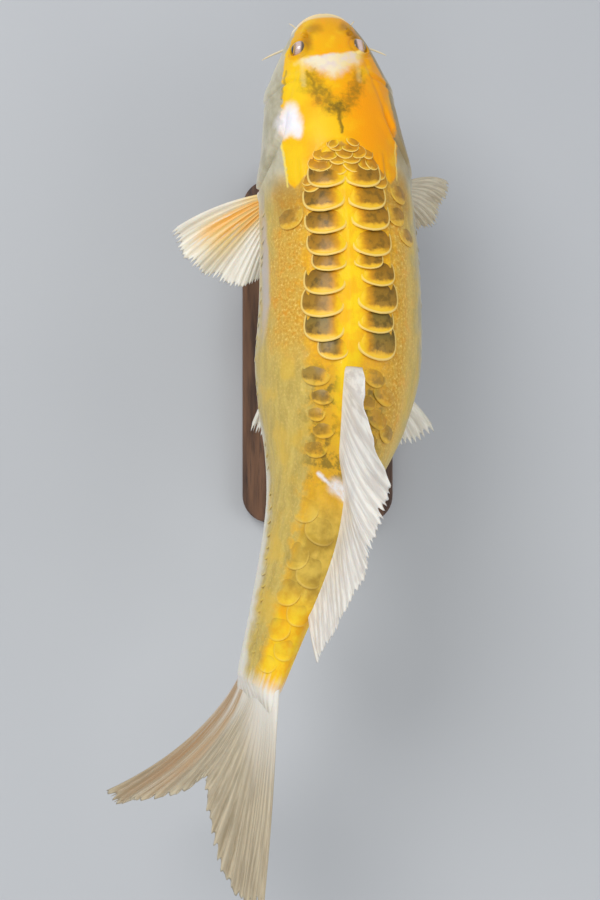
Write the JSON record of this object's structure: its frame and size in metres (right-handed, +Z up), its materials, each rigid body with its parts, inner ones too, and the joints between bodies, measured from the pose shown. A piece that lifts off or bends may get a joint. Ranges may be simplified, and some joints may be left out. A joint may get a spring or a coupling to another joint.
{
  "type": "koi carp",
  "caption": "Life-size koi carp with mirror scales and long trailing fins, held level on a plain display stand with a flat base and slim rods.",
  "frame": {"origin": "centre of the underside of the stand's base", "axes": "+Z up, +Y the way the head points, +X the fish's right"},
  "size_m": [0.2381, 0.5604, 0.2408],
  "materials": {
    "skin": "wet fish skin, yellow to orange above and pale on the flanks",
    "fin": "thin wet fin web, white to pale tan",
    "eye": "wet eye with a pale iris and a dark pupil",
    "stand_wood": "pale oiled wood with a satin finish",
    "stand_metal": "drawn rod with a satin finish"
  },
  "bodies": {
    "root": {"head": "skin", "jaw_lower": "skin", "gill_cover_left": "skin", "gill_cover_right": "skin", "trunk_fore": "skin", "trunk_hind": "skin", "tail_wrist": "skin", "eye_left": "eye", "eye_right": "eye", "barbel_short_left": "skin", "barbel_short_right": "skin", "barbel_long_left": "skin", "barbel_long_right": "skin", "fin_dorsal": "fin", "fin_anal": "fin", "fin_pectoral_left": "fin", "fin_pectoral_right": "fin", "fin_pelvic_left": "fin", "fin_pelvic_right": "fin", "fin_tail": "fin", "stand_base": "stand_wood", "stand_rod_front": "stand_metal", "stand_rod_rear": "stand_metal"}
  },
  "joints": []
}
